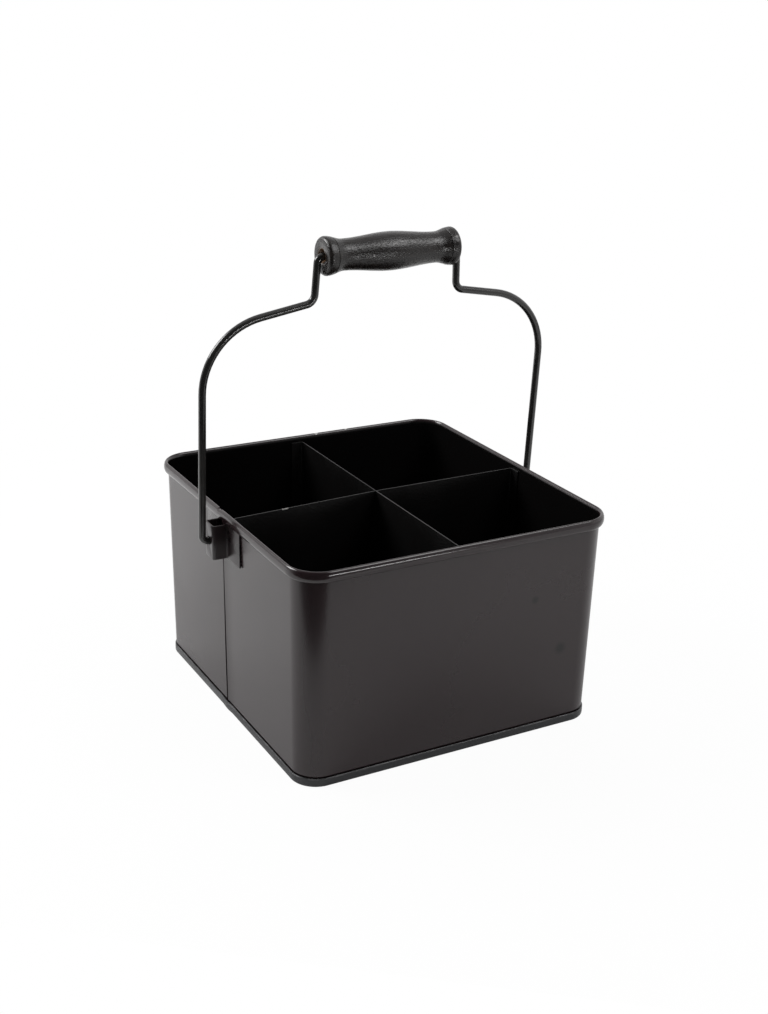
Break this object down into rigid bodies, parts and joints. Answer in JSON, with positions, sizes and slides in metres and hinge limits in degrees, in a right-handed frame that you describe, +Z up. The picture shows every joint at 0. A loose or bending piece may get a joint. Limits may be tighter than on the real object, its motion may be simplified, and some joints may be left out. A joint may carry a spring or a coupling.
{
  "type": "cutlery basket",
  "caption": "Open square sheet-metal cutlery basket with crossed dividers, rolled rim, crimped base and a swinging wire bail with a turned wooden grip.",
  "frame": {"origin": "on the ground, under the middle of the base", "axes": "+Z up, X from ear to ear along the bail's pivot line, -Y the front"},
  "size_m": [0.23, 0.2152, 0.2897],
  "materials": {
    "black_paint": "satin brown-black paint on sheet steel",
    "base_paint": "satin grey-black paint on sheet steel",
    "wire_paint": "glossy black paint on steel wire",
    "stained_wood": "black-brown stain and varnish with open grain"
  },
  "bodies": {
    "basket": {"body_wall": "black_paint", "base_pan": "base_paint", "divider_side_to_side": "black_paint", "divider_front_to_back": "black_paint", "left_ear": "black_paint", "right_ear": "black_paint"},
    "bail": {"bail": "wire_paint"},
    "grip": {"grip": "stained_wood"}
  },
  "joints": [
    {"name": "bail_swing", "type": "hinge", "parent": "basket", "child": "bail", "pos_m": [0, 0, 0.1155], "axis": [1, 0, 0], "range_deg": [-125.1, 118.9]},
    {"name": "grip_spin", "type": "hinge", "parent": "bail", "child": "grip", "pos_m": [0, -0.00883, 0.27856], "axis": [1, 0, 0], "continuous": true}
  ]
}
